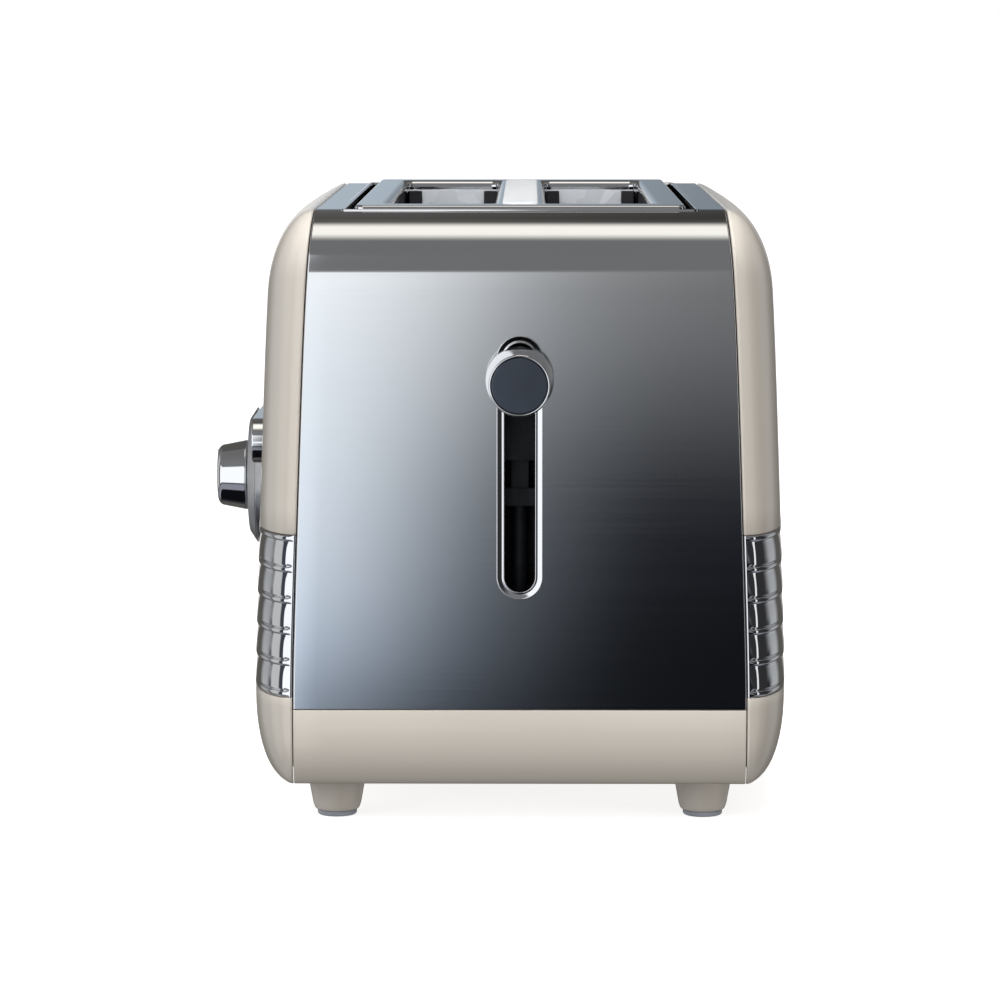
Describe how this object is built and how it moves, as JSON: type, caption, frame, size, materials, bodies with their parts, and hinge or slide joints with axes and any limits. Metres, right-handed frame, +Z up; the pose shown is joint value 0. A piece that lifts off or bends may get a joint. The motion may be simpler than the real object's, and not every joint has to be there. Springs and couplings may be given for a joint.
{
  "type": "pop up toaster",
  "caption": "Retro two-slot toaster: glossy side shells, polished steel wrap with lever slot, ribbed chrome trims, browning dial, control bar and tapered feet.",
  "frame": {"origin": "bottom centre of the whole object's box, on the surface it stands on, the lever knob, the dial and the tray's lip included", "axes": "+Z up, Y along the bread slots with the lever end at -Y, X across the slots with the browning dial at -X"},
  "size_m": [0.2127, 0.327, 0.2162],
  "materials": {
    "beige_plastic": "glossy moulded plastic with a warm greige colour",
    "polished_steel": "mirror-polished stainless sheet",
    "chrome_trim": "bright chrome plate",
    "dark_mirror": "dark smoked chrome",
    "satin_metal": "satin spun metal",
    "sheet_steel": "zinc-plated sheet with a fine grain",
    "dark_steel": "blackened steel of the lift",
    "aluminised_sheet": "pale aluminised sheet lining the chamber",
    "spring_steel": "drawn wire",
    "element_wire": "oxidised heater ribbon",
    "mica_board": "pressed mica sheet",
    "black_plastic": "black heat-resistant moulding",
    "pad_rubber": "grey-blue soft pad",
    "copper_coil": "enamelled copper winding",
    "green_board": "circuit board with solder mask",
    "white_block": "white terminal moulding"
  },
  "bodies": {
    "root": {"shell_left": "beige_plastic", "shell_right": "beige_plastic", "rib_trim_left": "chrome_trim", "rib_trim_right": "chrome_trim", "steel_wrap": "polished_steel", "top_bezel": "chrome_trim", "top_well": "black_plastic", "lever_slot_bezel": "chrome_trim", "base": "beige_plastic", "feet": "beige_plastic", "foot_pads": "pad_rubber", "base_screws": "sheet_steel", "front_plate": "dark_steel", "rear_plate": "aluminised_sheet", "heat_shield_left": "aluminised_sheet", "heat_shield_right": "aluminised_sheet", "heater_board_left": "mica_board", "heater_board_centre": "mica_board", "heater_board_right": "mica_board", "heating_elements": "element_wire", "rod_brackets": "dark_steel", "guide_rods": "dark_steel", "carriage_spring": "spring_steel", "electromagnet": "copper_coil", "power_switch": "black_plastic", "terminal_block": "white_block", "cord_bush": "black_plastic", "control_board": "green_board", "potentiometer": "satin_metal", "dial_plate": "satin_metal", "control_bar": "chrome_trim"},
    "lift": {"carriage": "dark_steel", "bread_rack_left": "sheet_steel", "bread_rack_right": "sheet_steel", "lever_arm": "black_plastic", "lever_knob": "chrome_trim", "lever_knob_cap": "dark_mirror", "keeper_plate": "sheet_steel"},
    "guide_left_outer": {"grid_left_outer": "spring_steel"},
    "guide_left_inner": {"grid_left_inner": "spring_steel"},
    "guide_right_inner": {"grid_right_inner": "spring_steel"},
    "guide_right_outer": {"grid_right_outer": "spring_steel"},
    "dial": {"browning_dial": "chrome_trim", "dial_shaft": "spring_steel"},
    "reheat": {"button_reheat": "chrome_trim"},
    "defrost": {"button_defrost": "chrome_trim"},
    "one_side": {"button_one_side": "chrome_trim"},
    "cancel": {"button_cancel": "chrome_trim"},
    "tray": {"crumb_tray": "sheet_steel", "tray_front": "beige_plastic"}
  },
  "joints": [
    {"name": "carriage_lift", "type": "slide", "parent": "root", "child": "lift", "axis": [0, 0, -1], "range_m": [0, 0.062], "stiffness_N_per_m": 120, "springref_m": -0.06, "deforming": ["carriage_spring"]},
    {"name": "guide_left_outer_close", "type": "slide", "parent": "root", "child": "guide_left_outer", "axis": [1, 0, 0], "range_m": [0, 0.0061]},
    {"name": "guide_left_inner_close", "type": "slide", "parent": "root", "child": "guide_left_inner", "axis": [-1, 0, 0], "range_m": [0, 0.0061]},
    {"name": "guide_right_inner_close", "type": "slide", "parent": "root", "child": "guide_right_inner", "axis": [1, 0, 0], "range_m": [0, 0.0061]},
    {"name": "guide_right_outer_close", "type": "slide", "parent": "root", "child": "guide_right_outer", "axis": [-1, 0, 0], "range_m": [0, 0.0061]},
    {"name": "dial_turn", "type": "hinge", "parent": "root", "child": "dial", "pos_m": [-0.0962, 0.0125, 0.1086], "axis": [-1, 0, 0], "range_deg": [-135, 135]},
    {"name": "reheat_press", "type": "slide", "parent": "root", "child": "reheat", "axis": [1, 0, 0], "range_m": [0, 0.0015], "stiffness_N_per_m": 700, "springref_m": -0.0008},
    {"name": "defrost_press", "type": "slide", "parent": "root", "child": "defrost", "axis": [1, 0, 0], "range_m": [0, 0.0015], "stiffness_N_per_m": 700, "springref_m": -0.0008},
    {"name": "one_side_press", "type": "slide", "parent": "root", "child": "one_side", "axis": [1, 0, 0], "range_m": [0, 0.0015], "stiffness_N_per_m": 700, "springref_m": -0.0008},
    {"name": "cancel_press", "type": "slide", "parent": "root", "child": "cancel", "axis": [1, 0, 0], "range_m": [0, 0.0015], "stiffness_N_per_m": 700, "springref_m": -0.0008},
    {"name": "tray_slide", "type": "slide", "parent": "root", "child": "tray", "axis": [0, 1, 0], "range_m": [0, 0.235]}
  ],
  "couplings": [
    {"joint": "guide_left_outer_close", "follows": "carriage_lift", "ratio": 0.096774},
    {"joint": "guide_left_inner_close", "follows": "carriage_lift", "ratio": 0.096774},
    {"joint": "guide_right_inner_close", "follows": "carriage_lift", "ratio": 0.096774},
    {"joint": "guide_right_outer_close", "follows": "carriage_lift", "ratio": 0.096774}
  ]
}
